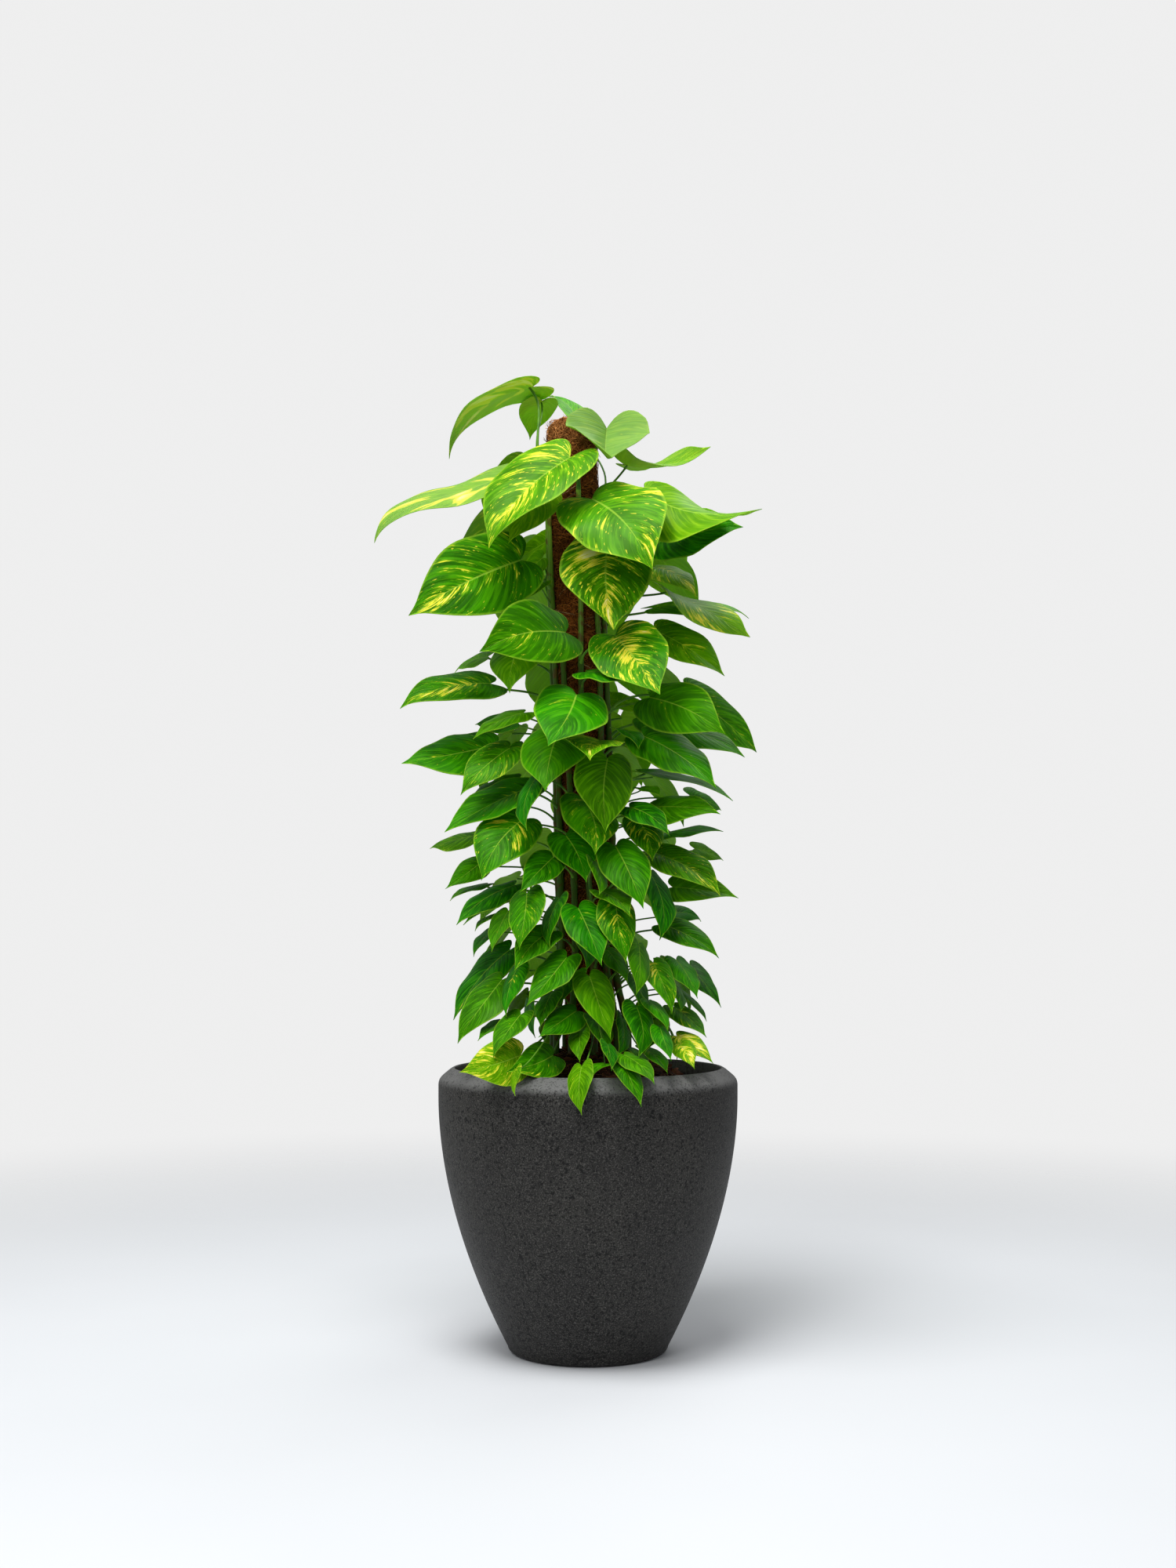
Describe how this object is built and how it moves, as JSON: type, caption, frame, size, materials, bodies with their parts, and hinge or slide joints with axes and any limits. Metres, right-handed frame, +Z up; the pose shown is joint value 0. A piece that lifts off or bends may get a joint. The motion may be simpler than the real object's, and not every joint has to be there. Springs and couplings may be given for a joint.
{
  "type": "potted pothos",
  "caption": "Pothos trained up a coir pole in a round flared planter, with heart-shaped leaves on climbing stems all round the pole.",
  "frame": {"origin": "centre of the planter's flat underside, on the floor", "axes": "+Z up along the plant, -Y towards the front, +X to the right seen from the front"},
  "size_m": [0.549, 0.5234, 1.4104],
  "materials": {
    "planter": "matte",
    "soil": "matte",
    "coir": "matte",
    "stake": "matte",
    "foliage": "satin"
  },
  "bodies": {
    "root": {"planter": "planter", "soil": "soil", "coir_wrap": "coir", "pole_stake": "stake", "vine_01": "foliage", "vine_02": "foliage", "vine_03": "foliage", "vine_04": "foliage", "vine_05": "foliage", "vine_06": "foliage", "vine_07": "foliage", "vine_08": "foliage", "vine_09": "foliage", "vine_10": "foliage"}
  },
  "joints": []
}
